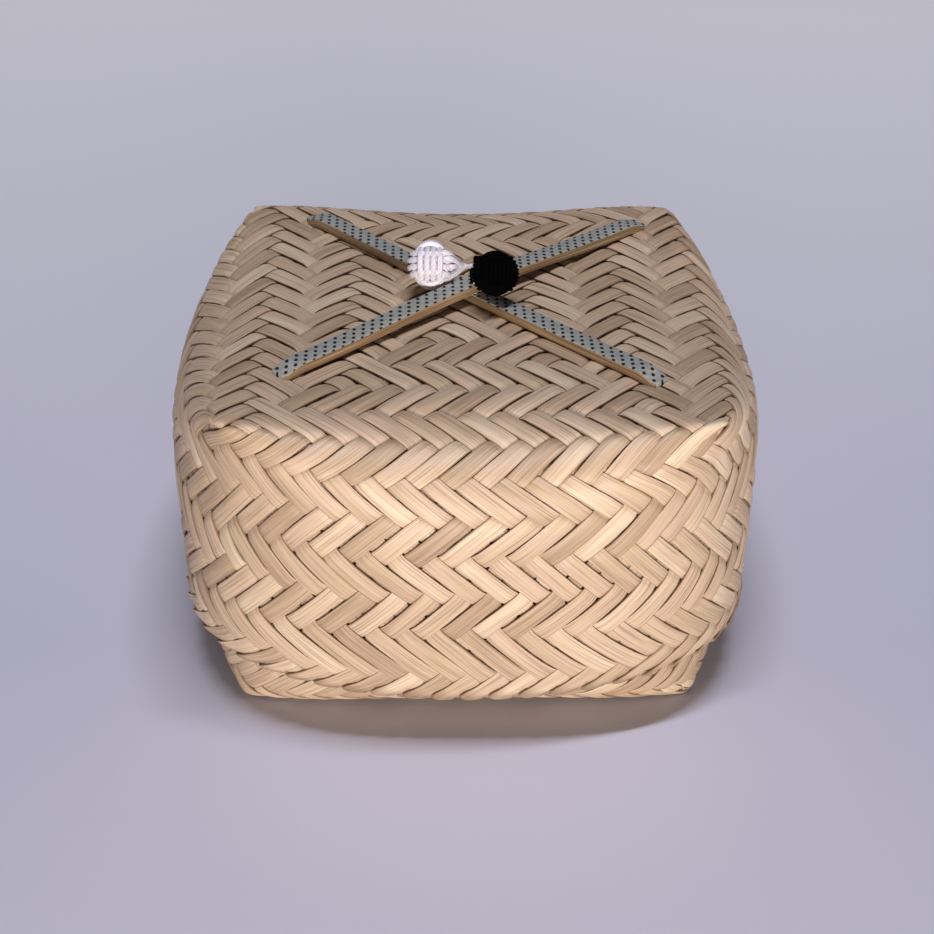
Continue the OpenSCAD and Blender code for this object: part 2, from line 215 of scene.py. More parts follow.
# %% [markdown]
# ## Over and under
#
# Both baskets are woven three over, three under, in rings round the middle. On the flat square each
# splint crosses a splint of the other family at every whole step. Past the fold it winds down the
# walls, half of the splints clockwise and half the other way, so each crossing's depth follows from
# where its two splints started.

# %% Where the splints cross on the walls
EASE_REACH = 5        # splints beside a corner over which uneven spacing is spread
EASE_DEPTH = 4.0      # lattice units down the wall by which it is spread


def wall_starts(hand):
    """Home side, distance m from the diagonal, start round the perimeter, and sideways easing of
    each splint that winds down the walls. The start is the home side's middle plus hand (HALF - 2m),
    where hand is 1 for splints that wind counterclockwise and -1 for the others. Splints within
    EASE_REACH of a corner ease by up to half a unit, because 33 splints a side leave them uneven."""
    home, m = np.repeat(np.arange(4), 17), np.tile(np.arange(17), 4)
    keep = (home % 2 == 0) | (m > 0)
    home, m = home[keep], m[keep]
    from_corner = np.minimum(m - home % 2, 16 - m)
    ease = 0.5 * hand * np.where(home % 2, 1, -1) * np.clip(1 - from_corner / EASE_REACH, 0, 1) ** 2
    return home, m, 2 * HALF * home + hand * (HALF - 2 * m), ease


HOMES, PLACES, LEFT_STARTS, LEFT_EASE = wall_starts(1)
_, _, RIGHT_STARTS, RIGHT_EASE = wall_starts(-1)


def wall_crossings():
    """Depth at which each counterclockwise splint meets each clockwise one: half the way between
    them round the perimeter, corrected for their easing by repeating the sum."""
    depth = np.zeros((len(LEFT_STARTS), len(RIGHT_STARTS)))
    for _ in range(12):
        share = smooth(depth / EASE_DEPTH)
        gap = RIGHT_STARTS + share * RIGHT_EASE - LEFT_STARTS[:, None] - share * LEFT_EASE[:, None]
        depth = gap / 2 % (4 * HALF)
    return depth


CROSSINGS = wall_crossings()
print("crossings on the walls of each basket:", int((CROSSINGS < DEPTH).sum()))

# %% [markdown]
# Rings of three crossings alternate: the clockwise splints lie on top in the even rings and the
# others in the odd ones, which makes the walls' herringbone. An image of a weave could be laid over
# a plain skin, but it would look flat at the rim and under a low light. So each splint looks up the
# places where others cross it, and over or under there becomes its height.

# %% Height of a splint
RING = 3                 # crossings in a ring
STEP_LENGTH = 0.5        # lattice steps in which a splint dives
ARCH_LENGTH = 2.0        # lattice steps in which it arches
ARCH = 0.4               # share of the slow arch in its rise
EARLY = 0.05             # lattice steps by which it dives before the gap between its neighbours


def ring_of(reach):
    """Number of the ring that a crossing lies in, from its distance from the middle."""
    return np.floor((reach + RING / 2) / RING).astype(int)


def half_splint(family, index, end):
    """(home side, hand, m) of the half of a splint towards one end, 1 or -1."""
    m = abs(index)
    if family == "a":
        with_hand = index >= 0 if end > 0 else index <= 0
        home = (0 if with_hand else 1) if end > 0 else (2 if with_hand else 3)
        return home, 1 if with_hand else -1, m
    against = index >= 0 if end > 0 else index <= 0
    home = (0 if against else 3) if end > 0 else (2 if against else 1)
    return home, -1 if against else 1, m


def crossings_of(family, index):
    """Places along a splint where others cross it, and 1 or -1 for over or under. On the flat square
    the left-hand splints are over in odd rings; where the two diagonals tie, family a counts as such."""
    m = abs(index)
    steps = np.arange(-(16 - m), 17 - m)
    odd = ring_of(m + np.abs(steps)) % 2 == 1
    left = index * steps >= 0 if family == "a" else index * steps < 0
    places, over = [steps.astype(float)], [np.where(odd == left, 1, -1)]
    for end in (-1, 1):
        home, hand, _ = half_splint(family, index, end)
        row = np.flatnonzero((HOMES == home) & (PLACES == m))[0]
        depth = CROSSINGS[row] if hand == 1 else CROSSINGS[:, row]
        depth = depth[depth < DEPTH]
        odd = ring_of(HALF + depth) % 2 == 1
        places.append(end * (HALF - m + depth))
        over.append(np.where(odd == (hand == 1), 1, -1))
    places, over = np.concatenate(places), np.concatenate(over)
    order = np.argsort(places)
    return places[order], over[order]


def height_along(x, places, over):
    """Height of a splint along itself, from -1 to 1: it starts at its first crossing's value and
    changes by smooth steps, a quick and a slow one together, near the gap between two crossings
    that differ. The step comes a little early on the way down and late on the way up."""
    middles, change = (places[1:] + places[:-1]) / 2, np.diff(over)
    middles, change = middles[change != 0], change[change != 0]
    from_gap = x[:, None] - middles - EARLY * np.sign(change)
    quick, slow = smooth(from_gap / STEP_LENGTH + 0.5), smooth(from_gap / ARCH_LENGTH + 0.5)
    return over[0] + (((1 - ARCH) * quick + ARCH * slow) * change).sum(1)


print("the middle splint is crossed", len(crossings_of("a", 0)[0]), "times from rim to rim")

# %% [markdown]
# ## Ribbons of split bamboo
#
# Each splint is one flat ribbon that runs from rim to rim: up a wall, over the flat square and down
# again. A ribbon could be drawn as a curve with a bevel, but here five lines are carried along the
# skin side by side, so that it keeps its true width and lies over or under its neighbours. Small
# random sways, tilts and changes of width keep the weave from looking machined.

# %% Sizes of a splint
SPLINT_STEP = 6.86       # mm of splint to one lattice step
SPLINT_WIDTH = 6.35
SPLINT_THICKNESS = 0.6
CROWN = 0.34             # how much the middle of a splint stands above its edges
SAMPLES_PER_STEP = 5.5   # rows of points to a lattice step
ACROSS = np.linspace(-0.5, 0.5, 5)     # places across a splint, as shares of its width
rng = np.random.default_rng(5)


def sway(x, wavelength, phases):
    """A smooth wander along x between -1 and 1: three sine waves with their phases."""
    waves = wavelength * np.array([1.0, 0.61, 0.37])
    return np.sin(2 * np.pi * x[:, None] / waves + phases) @ [0.5, 0.3, 0.2]


def unit(vectors):
    """Each vector divided by its length."""
    return vectors / np.linalg.norm(vectors, axis=-1, keepdims=True)


print("gap between two splints:", round(SPLINT_STEP - SPLINT_WIDTH, 2), "mm")

# %% [markdown]
# Near the rim a splint bends a little round the basket and ends in a rounded tongue, which laps over
# the next one like a shingle. A straight band with a copied edge would be simpler, but on the real
# hem every splint can be followed into its own tongue.

# %% Skin under a splint
HEM = 17.6               # lattice units down a wall where the splints start to bend round
HEM_BEND = 0.45          # how much further round than down they run at the wall's edge
TONGUE = 18.6            # lattice units down a wall where the tongues start
TONGUE_LENGTH = 1.75     # lattice units over which their rows turn into the rounded tip
TIP_PLACE = 0.3          # where across a tongue its end is lowest, in widths from its middle
TIP_REACH = 0.8          # widths from there to its leading edge
HEM_RISE = 0.7           # lattice units by which its end climbs to the leading edge


def near_rim(depth):
    """Share from 0 to 1 by which a splint has become its tongue, at a depth down the wall."""
    return smooth((depth - TONGUE) / TONGUE_LENGTH)


def skin_under(basket, family, index, x, ways, wander):
    """Points of the skin under a splint, one row for each place x and one column for each of ways,
    the lattice units sideways. Near the rims it bends round by HEM_BEND (depth - HEM)^2 / 2 span,
    and its rows turn from square across it to a tip that climbs by HEM_RISE tip^2 towards the
    leading edge. Also says which edge is the lower one."""
    m, side = abs(index), 1 if family == "a" else -1
    sideways = np.array([-side, 1]) / np.sqrt(2)
    points, lower = np.zeros((*ways.shape, 3)), np.zeros(len(x))
    for end in (-1, 1):
        here = x * end >= 0
        if not here.any():
            continue
        home, hand, _ = half_splint(family, index, end)
        row = np.flatnonzero((HOMES == home) & (PLACES == m))[0]
        c, s = [(1, 0), (0, 1), (-1, 0), (0, -1)][home]
        turn = np.array([[c, s], [-s, c]])
        run = x[here, None]
        line = np.stack([run + index, side * (run - index)], -1) @ turn.T     # (u, v) down the middle
        depth = line[..., 0] - HALF
        past = np.maximum(depth - HEM, 0) / (DEPTH - HEM)
        near, slope = near_rim(depth), 1 + HEM_BEND * past
        across = turn @ sideways
        length = np.sqrt(1 + slope**2)
        shares = ways[here] / np.ptp(ways[here], axis=1)[:, None] * np.sign(across[0])
        tip = (TIP_PLACE - shares) / TIP_REACH
        shift_u = ((1 - near) * ways[here] * np.sign(across[0]) * slope / length
                   - near * HEM_RISE * tip**2)
        shift_v = ways[here] * np.sign(across[1]) * length + hand * slope * shift_u
        u = line[..., 0] + shift_u + wander[here, None] * across[0]
        v = line[..., 1] + shift_v + wander[here, None] * across[1]
        v += hand * HEM_BEND * (DEPTH - HEM) * past**2 / 2
        v += (LEFT_EASE if hand == 1 else RIGHT_EASE)[row] * smooth((u - HALF) / EASE_DEPTH)
        points[here] = soft_skin(basket, u, v, home)
        lower[here] = np.sign(across[0])
    return points, lower


print("a tongue is", round(TONGUE_LENGTH * SPLINT_STEP), "mm of splint long")

# %% [markdown]
# Every tongue turns under in a small half circle round the rim's core. The splints that lie on top
# at the rim curl wider than those underneath, so that the two layers nest.

# %% Curls round the rim
CURL_RADIUS = (0.95, 1.5)                     # mm, for splints under and over at the rim
CURL_DEPTH = {"lid": 20.35, "base": 20.15}    # lattice units from the fold to where they curl


def curl(edge, along, out, radius, tail=5.0, steps=8):
    """Shifts and outward axes of a splint's curled end: a half circle of that radius round the rim,
    turning inwards, then a straight tail back. With T the way down, N the way out and D half the
    splint's own drift along the rim: r sin a T - r (1 - cos a) N + r a D, and cos a N + sin a T."""
    down = unit(along - along @ edge * edge)
    out = unit(out - out @ edge * edge)
    drift = 0.5 * (along @ edge) / (along @ down) * edge
    angle = np.concatenate([np.linspace(0, np.pi, steps)[1:], [np.pi, np.pi]])[:, None]
    back = np.concatenate([np.zeros(steps - 1), [tail / 2, tail]])[:, None]
    shift = radius * np.sin(angle) * down - radius * (1 - np.cos(angle)) * out - back * down
    shift += radius * angle * drift
    return shift[:, None], (np.cos(angle) * out + np.sin(angle) * down)[:, None]


print("splints curl", round(DEPTH - CURL_DEPTH["lid"], 2), "lattice units before the lid's wall ends")

# %% [markdown]
# A splint's weave depth, crown and tilt are added to the skin as one height, along the skin's own
# normal. Solidify could thicken such a surface. Eight section points of its own keep each strip
# closed at its cut ends and tell its inner side, which has another finish, from its outside.

# %% One splint
WEAVE_INSET = 1.0        # mm from the skin down to the weave's middle
WEAVE_SWING = 0.68       # how far a splint rises or dips from it
RIM_INSET, RIM_SWING = 0.82, 0.4       # the same two near the rim, where the weave is tighter
RIM_START, RIM_LENGTH = 17.5, 1.5      # lattice units down a wall where it tightens, and over which
RIM_FLATNESS = 0.6       # share of the crown that is lost there
HEM_TILT = 0.26          # slope across a folded end, which laps over its neighbour like a shingle
FOLD_BROWN_AND_PAINTED_SHADE = ((0.2, 1), (0.65, 6))     # brown and painted shade of a folded end: shares and powers of nearness to it
LEAST_FIT, MOST_FIT = 0.8, 1.06        # by how much a splint may be narrowed or widened to stay true
CUT_END, CUT_START = 16.25, 17.15      # where the diagonal splints are cut at the top's corners


def splint(basket, family, index, low, high, width, sways):
    """Rows of section points for one splint from place low to place high, their (along, across)
    millimetres and each row's fold shade: the bamboo's own browning at a fold together with painted
    shade towards a tongue's tip. It follows the skin at every point of its width, set in by the
    weave's depth along the skin's normal, and its section is a thin strip with a crown."""
    m = abs(index)
    x = np.linspace(low, high, int((high - low) * SAMPLES_PER_STEP))
    nominal = np.sqrt(2) / SPLINT_STEP * np.broadcast_to(ACROSS, (len(x), len(ACROSS)))
    wander, lift, tilt, wide = (size * sway(x, length, phases) for size, length, phases in sways)
    width = (width + wide)[:, None]
    true, lower = skin_under(basket, family, index, x, nominal * width, wander)
    chord = np.linalg.norm(true[:, -1] - true[:, 0], axis=1)[:, None]
    near = near_rim(np.abs(x) - HALF + m)[:, None]
    fitted = 1 + (np.clip(width / chord, LEAST_FIT, MOST_FIT) - 1) * (1 - near)
    surface, _ = skin_under(basket, family, index, x, nominal * width * fitted, wander)
    along, across = np.gradient(surface, axis=0), np.gradient(surface, axis=1)
    out = unit(np.cross(along, across)) * basket["outward"]
    height = height_along(x, *crossings_of(family, index))
    if index == 0 and abs(low) != abs(high):
        height = height - (1 + height) * (1 - smooth(np.abs(x) - CUT_START))
    rim = smooth((np.abs(x) - (HALF - m) - RIM_START) / RIM_LENGTH)
    inset = WEAVE_INSET - WEAVE_SWING * height - lift * (1 - rim)
    inset += rim * (RIM_INSET - RIM_SWING * height - inset)
    rise = CROWN * (0.5 - 4 * ACROSS**2) * (1 - RIM_FLATNESS * rim[:, None])
    rise = rise + tilt[:, None] * (1 - rim[:, None]) * ACROSS * width
    rise = rise - HEM_TILT * (near * lower[:, None]) * ACROSS * width
    middle = surface + (rise - inset[:, None])[..., None] * out
    # painted shade: the last rows of a tongue darken towards its tip, on top of the bamboo's browning at
    # the fold
    shade = sum(share * near[:, 0] ** power for share, power in FOLD_BROWN_AND_PAINTED_SHADE)
    for k, way in ((0, -1), (-1, 1)):
        if abs((low, high)[k]) > HALF - m + TONGUE:      # an end at the rim, not a cut one
            radius = CURL_RADIUS[1 if height[k] > 0 else 0]
            shift, turned_out = curl(unit(surface[k, -1] - surface[k, 0]), unit(way * along[k, 2]),
                                     out[k, 2], radius)
            # a curled end takes the full fold darkening: browning and painted shade under the rim
            shade[k] = 1
            rows = middle[k] + shift
            outs = np.broadcast_to(turned_out, rows.shape)
            middle, out, shade = (
                np.concatenate([new[::-1], old] if k == 0 else [old, new])
                for old, new in ((middle, rows), (out, outs), (shade, np.ones(len(rows)))))
    half = SPLINT_THICKNESS / 2
    points = np.concatenate([(middle - half * out)[:, ::2], (middle + half * out)[:, ::-1]], 1)
    run = np.concatenate([[0], np.cumsum(np.linalg.norm(np.diff(middle[:, 2], axis=0), axis=1))])
    places = np.concatenate([ACROSS[::2], ACROSS[::-1]]) * width.mean()
    return points, np.stack([np.broadcast_to(run[:, None], points.shape[:2]),
                             np.broadcast_to(places, points.shape[:2])], -1), shade


print("the weave is", round(2 * WEAVE_SWING + SPLINT_THICKNESS, 1), "mm thick")

# %% [markdown]
# ## From rows of points to a mesh
#
# Splints, slats, ribbons and cords are all sections carried along a line: rows of points that are
# joined to the next row and capped at both ends. One function turns any number of such strands into
# a mesh. Their running length and width in millimetres become the UV map, so grain and yarn follow
# the strand, and each strand keeps three random numbers as its tone.

# %% Mesh of strands
def strand_mesh(name, strands, materials, section_material=None, sharp_angle=40):
    """A mesh of capped strands. strands is a list of (points[row, section, xyz], uv[row, section, 2],
    tone[3] or tone[point, 4]). Quad i of a row joins section points i and i + 1 to the next row's."""
    vertices, faces, slots, uvs, tones, start = [], [], [], [], [], 0
    for points, uv, tone in strands:
        rows, count = points.shape[:2]
        ids = start + np.arange(rows * count).reshape(rows, count)
        low, high = ids[:-1], ids[1:]
        quads = np.stack([low, np.roll(low, -1, 1), np.roll(high, -1, 1), high], -1)
        faces += quads.reshape(-1, 4).tolist() + [ids[0, ::-1].tolist(), ids[-1].tolist()]
        row_slots = np.zeros(count, int) if section_material is None else np.array(section_material)
        slots += [np.tile(row_slots, rows - 1), np.array([0, 0])]
        vertices.append(points.reshape(-1, 3))
        uvs.append(uv.reshape(-1, 2))
        tones.append(tone if np.ndim(tone) == 2 else np.tile([*tone, 1.0], (rows * count, 1)))
        start += rows * count
    mesh = bpy.data.meshes.new(name)
    mesh.from_pydata(np.concatenate(vertices) * MM, [], faces)
    mesh.polygons.foreach_set("use_smooth", np.ones(len(faces), bool))
    mesh.polygons.foreach_set("material_index", np.concatenate(slots))
    corner = np.zeros(len(mesh.loops), int)
    mesh.loops.foreach_get("vertex_index", corner)
    layer = mesh.uv_layers.new(name="run")
    layer.data.foreach_set("uv", np.concatenate(uvs)[corner].ravel().astype(np.float32))
    tone = mesh.attributes.new("tone", "FLOAT_COLOR", "POINT")
    tone.data.foreach_set("color", np.concatenate(tones).ravel().astype(np.float32))
    mesh.set_sharp_from_angle(angle=np.radians(sharp_angle))
    for material in materials:
        mesh.materials.append(material)
    piece = bpy.data.objects.new(name, mesh)
    bpy.context.scene.collection.objects.link(piece)
    print(f"{name}: {len(strands)} strands, {len(faces)} faces")
    return piece

# %% [markdown]
# ## Finishes
#
# Colours are written as the hex values a paint chart would give and turned to linear light once. One
# helper adds a node, sets its values and makes its links.

# %% Colours and nodes
def colour(code):
    """Linear RGBA of an sRGB hex colour: c/12.92 below 0.04045, otherwise ((c+0.055)/1.055)^2.4."""
    c = np.array([int(code[k:k + 2], 16) for k in (1, 3, 5)]) / 255
    return (*np.where(c <= 0.04045, c / 12.92, ((c + 0.055) / 1.055) ** 2.4), 1.0)


def add(tree, kind, values=None, **settings):
    """A new node. values sets or links its inputs by name or number, and settings its properties."""
    node = tree.nodes.new("ShaderNode" + kind)
    for key, value in settings.items():
        setattr(node, key, value)
    for key, value in (values or {}).items():
        if isinstance(value, bpy.types.NodeSocket):
            tree.links.new(value, node.inputs[key])
        else:
            node.inputs[key].default_value = value
    return node


def ramp(tree, factor, stops):
    """A colour ramp through (position, hex) stops."""
    node = add(tree, "ValToRGB", {0: factor})
    while len(node.color_ramp.elements) < len(stops):
        node.color_ramp.elements.new(0.5)
    for element, (position, code) in zip(node.color_ramp.elements, stops):
        element.position, element.color = position, colour(code)
    return node.outputs[0]


def new_material(name, roughness, **values):
    """A material with its node tree and its Principled shader, whose sockets take the values."""
    material = bpy.data.materials.new(name)
    material.use_nodes = True
    shader = material.node_tree.nodes["Principled BSDF"]
    shader.inputs["Roughness"].default_value = roughness
    for key, value in values.items():
        shader.inputs[key.replace("_", " ")].default_value = value
    return material, material.node_tree, shader


def scaled(tree, vector, x, y, z):
    """A vector multiplied by (x, y, z)."""
    return add(tree, "VectorMath", {0: vector, 1: (x, y, z)}, operation="MULTIPLY").outputs[0]

# %% [markdown]
# ### Split bamboo
#
# The outside of a splint is unvarnished bamboo, shaved smooth: a satin surface with fine fibres
# running lengthwise about half a millimetre apart, and here and there a darker streak. Each splint
# comes from another part of the culm, so tones run from cream and straw to pinkish and greenish tan.
# The inner side is browner. Along its split edges the outside is darkened as painted shade of the
# gaps between splints, and its folded ends are browner, with painted shade towards a tongue's tip.
# The fibres are a noise stretched 60 times along the strand's UV map, whose units are millimetres.

# %% Bamboo
def bamboo(name, stops, streak_and_shade, roughness=0.5, fibre=2.1, edge=None):
    """Split bamboo. stops are its tones, streak_and_shade the fibres' colour, which also paints the shade,
    fibre how many to a millimetre, and edge how far from the strip's middle the painted shade along its
    split edges begins, in millimetres."""
    material, tree, shader = new_material(name, roughness)
    run = add(tree, "UVMap", uv_map="run").outputs[0]
    strand = add(tree, "Attribute", attribute_name="tone")
    tone = add(tree, "SeparateColor", {0: strand.outputs["Color"]})
    shift = add(tree, "CombineXYZ", {2: tone.outputs[1]}).outputs[0]
    shift = scaled(tree, shift, 0, 0, 90)                # each strand reads another part of the noise

    def streaks(along, across, detail):
        """Noise with that many grains to a millimetre along and across the strand."""
        place = add(tree, "VectorMath", {0: scaled(tree, run, along, across, 0), 1: shift}).outputs[0]
        return add(tree, "TexNoise", {"Vector": place, "Scale": 1.0, "Detail": detail}).outputs[0]

    fine = streaks(fibre / 60, fibre, 3.0)
    broad = streaks(0.012, 0.5, 2.0)                     # long bands, 2 mm wide
    patch = streaks(0.05, 0.12, 2.0)                     # patches, 8 by 20 mm
    drift = add(tree, "Math", {0: broad, 1: 0.75, 2: tone.outputs[0]}, operation="MULTIPLY_ADD").outputs[0]
    drift = add(tree, "Math", {0: patch, 1: 0.45, 2: drift}, operation="MULTIPLY_ADD").outputs[0]
    drift = add(tree, "Math", {0: drift, 1: 0.6}, operation="SUBTRACT").outputs[0]
    ground = ramp(tree, drift, stops)
    lines = add(tree, "MapRange", {0: fine, 1: 0.5, 2: 0.72, 3: 0.0, 4: 0.62}).outputs[0]
    mixed = add(tree, "Mix", {0: lines, 6: ground, 7: colour(streak_and_shade)}, data_type="RGBA").outputs[2]
    pale = add(tree, "MapRange", {0: fine, 1: 0.5, 2: 0.26, 3: 0.0, 4: 0.3}).outputs[0]
    mixed = add(tree, "Mix", {0: pale, 6: mixed, 7: colour("#f3e2c4")}, data_type="RGBA").outputs[2]
    if edge:
        # painted shade: a thin dark line along both split edges, standing in for the shadow in the gaps
        # between splints
        across = add(tree, "SeparateXYZ", {0: run}).outputs[1]
        aside = add(tree, "Math", {0: across}, operation="ABSOLUTE").outputs[0]
        rough = add(tree, "Math", {0: fine, 1: 0.5, 2: aside}, operation="MULTIPLY_ADD").outputs[0]
        painted_edge_shade = add(tree, "MapRange", {0: rough, 1: edge + 0.02, 2: edge + 0.3, 3: 0.0, 4: 0.75}).outputs[0]
        mixed = add(tree, "Mix", {0: painted_edge_shade, 6: mixed, 7: colour(streak_and_shade)}, data_type="RGBA").outputs[2]
        # painted shade and browning at the folded ends: the tone's alpha darkens a tongue towards its tip
        flat = strand.outputs["Alpha"]                   # 1 on the flat and 0 in a fold
        fold = add(tree, "MapRange", {0: flat, 1: 0.8, 2: 0.0, 3: 0.0, 4: 0.6}).outputs[0]
        mixed = add(tree, "Mix", {0: fold, 6: mixed, 7: colour(streak_and_shade)}, data_type="RGBA").outputs[2]
    tree.links.new(mixed, shader.inputs["Base Color"])
    bump = add(tree, "Bump", {"Height": fine, "Distance": 0.09 * MM, "Strength": 0.55})
    tree.links.new(bump.outputs[0], shader.inputs["Normal"])
    return material


SPLINT_TONES = [(0.0, "#b89c7e"), (0.25, "#c9ae8d"), (0.5, "#d2b797"), (0.65, "#d6b89c"),
                (0.8, "#dbc1a0"), (1.0, "#e6d0b0")]
# edge sets where the painted shade along the split edges begins
splint_skin = bamboo("bamboo_splint_skin", SPLINT_TONES, "#7d6044", edge=SPLINT_WIDTH / 2 - 0.1)
PITH_TONES = [(0, "#8a6a45"), (0.5, "#9c7b52"), (1, "#ac8b60")]
splint_pith = bamboo("bamboo_splint_pith", PITH_TONES, "#6e5030", 0.7)
print("finishes:", splint_skin.name, "and", splint_pith.name)

# %% [markdown]
# ## Weave both baskets
#
# Family a runs one way over the flat square and family b the other, 33 splints each. Each family is
# one piece, with the splint's outside as one material and its inner side, pith, as the other.

# %% Woven pieces
SECTION_MATERIAL = [1, 1, 0, 0, 0, 0, 0, 0]   # a section's first two quads are its inner side
# Sizes and wavelengths of a splint's sways: sideways, up, tilt and width.
SWAYS = ((0.05, 11), (0.05, 5.0), (np.radians(2.2), 4.3), (0.12, 7.0))


def woven_family(name, basket, family):
    """One family of a basket's splints as a mesh. The two diagonal splints are cut at the corners."""
    strands = []
    for index in range(-16, 17):
        reach = HALF - abs(index) + CURL_DEPTH[basket["name"]]
        width = SPLINT_WIDTH + rng.uniform(-0.25, 0.12)
        sways = [(size, length, rng.uniform(0, 2 * np.pi, 3)) for size, length in SWAYS]
        parts, start, tone = [(-reach, reach)], rng.uniform(0, 400), rng.uniform(0, 1, 3)
        if index == 0:
            parts = [(-reach, -CUT_START), (-CUT_END, CUT_END), (CUT_START, reach)]
        for low, high in parts:
            points, run, shade = splint(basket, family, index, low, high, width, sways)
            # the tone's alpha carries the fold's browning and painted shade
            tones = np.concatenate([np.tile(tone, (len(shade), 1)), 1 - shade[:, None]], 1)
            strands.append((points, run + [start, 0], np.repeat(tones, points.shape[1], 0)))
    return strand_mesh(name, strands, [splint_skin, splint_pith], SECTION_MATERIAL)


for body, basket in (("lid", LID), ("base", BASE)):
    for family in "ab":
        piece = woven_family(f"{body}_splints_{family}", basket, family)
        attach(piece, body)
        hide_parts(f"{body}_basket")

# %% [markdown]
# ## Slats and ribbons
#
# Two planed bamboo slats stiffen the lid. Each follows the lid's top, the upper one rises over the
# lower one where they cross, and their square tips are pressed in between the splints. A cotton
# ribbon with small dots, cut on the bias, is glued along each and folded down over its tips. Both
# are rounded oblong sections carried along the slat, so one function makes all four pieces.

# %% Sizes of the slats
SLAT_LENGTH, SLAT_WIDTH, SLAT_THICKNESS = 170.0, 7.5, 3.0
SLAT_TIP, SLAT_TAPER = 6.0, 1.6        # the tips are cut square, with the corners taken off
SLAT_WAYS = {"lower": 133.5, "upper": 41.5}     # degrees from X at which the slats lie
RIBBON_WIDTH, RIBBON_THICKNESS = 6.9, 0.34
RIBBON_SEAT = 0.02                     # how deep the ribbon's glued side sinks into the slat
SEAT_GAP = 0.15                        # between the lid's skin and what lies on it
CROSS = np.array([2.6, 6.7])           # where the slats cross
TUCK_LENGTH, TUCK_DROP = 8.0, 1.9      # how far the tips dip between the splints
CAD_RIBBON = 0.3                       # the ribbon's thickness in the CAD model
UPPER_LIFT = SLAT_THICKNESS + CAD_RIBBON + 2 * SEAT_GAP
FLAP, FLAP_DROP = 0.35, 2.6            # how far the ribbon runs past a tip, and is folded down there


def top_height(x, y):
    """Height of the lid's skin at a place on its top, from the same curves as the skin."""
    far = np.maximum(np.maximum(np.abs(x), np.abs(y)), 0.01)
    q, t = np.minimum(np.abs(x), np.abs(y)) / far, np.minimum(far / 80, 1)
    corner = LID["centre"] + LID["sag"] * t * t
    return corner + (cubic(LID["flat"], t)[..., 1] - corner) * (1 - q * q) ** 2


def rounded_oblong(width, height, radius, steps=3):
    """Section points around an oblong with round corners: four quarter circles."""
    turn = np.linspace(0, np.pi / 2, steps + 1)
    x, y = width / 2 - radius, height / 2 - radius
    corners = [(x, -y, -np.pi / 2), (x, y, 0), (-x, y, np.pi / 2), (-x, -y, np.pi)]
    return np.concatenate([np.stack([cx + radius * np.cos(turn + a), cy + radius * np.sin(turn + a)], -1)
                           for cx, cy, a in corners])


def slat_strand(degrees, lift, width, low, high, radius, flap=0):
    """A bar along the lid: the underside follows the top's height, raised by lift times a cosine bell
    at the crossing, and dips by a smooth step at the tips, where the width narrows too. A flap beyond
    the tips is folded straight down."""
    along = np.array([np.cos(np.radians(degrees)), np.sin(np.radians(degrees))])
    ends = [SLAT_TAPER, SLAT_TAPER / 2, 0.3, 0.0, -0.7 * flap, -0.9 * flap, -flap]
    half = SLAT_LENGTH / 2 - np.array(ends)
    s = np.linspace(-0.5, 0.5, 108)[1:-1] * (SLAT_LENGTH - 2 * SLAT_TAPER)
    s = np.concatenate([-half[::-1], s, half])
    x, y = CROSS[:, None] + along[:, None] * s
    bell = (1 + np.cos(np.pi * np.minimum(np.abs(s) * 2 / SLAT_LENGTH, 1))) / 2
    from_end = SLAT_LENGTH / 2 - np.abs(s)
    dip = TUCK_DROP * (1 - smooth(from_end / TUCK_LENGTH))
    z = top_height(x, y) + SEAT_GAP + lift * bell - dip + (low + high) / 2
    if flap:
        z -= FLAP_DROP * np.clip(-from_end / flap, 0, 1) ** 2
    taper = (SLAT_TIP + (width - SLAT_TIP) * np.clip(from_end / SLAT_TAPER, 0, 1)) / width
    section = rounded_oblong(width, high - low, radius)
    across = np.array([-along[1], along[0], 0])
    points = np.stack([x, y, z], -1)[:, None] + section[:, :1] * across * taper[:, None, None]
    points = points + section[:, 1:] * np.array([0, 0, 1.0])
    around = np.cumsum(np.linalg.norm(np.diff(section, axis=0, prepend=section[-1:]), axis=1))
    run = np.stack([np.broadcast_to(s[:, None], points.shape[:2]),
                    np.broadcast_to(around, points.shape[:2])], -1)
    return points, run, rng.uniform(0.3, 0.7, 3)


print("the upper slat rises", round(UPPER_LIFT, 2), "mm over the lower one")

# %% [markdown]
# The ribbon is thin cotton in a plain weave, with woven or printed dots. An image could be laid over
# it, but dots by formula stay sharp: the place is cut into cells, and each cell holds one dot.

# %% Ribbon cloth
DOT_PITCH = (3.0, 2.7)                 # mm between the dots along X and Y
DOT_RADIUS = 0.62                      # mm, along X
DOT_SQUASH = 2.1 / 2.7                 # a dot's width as a share of its height


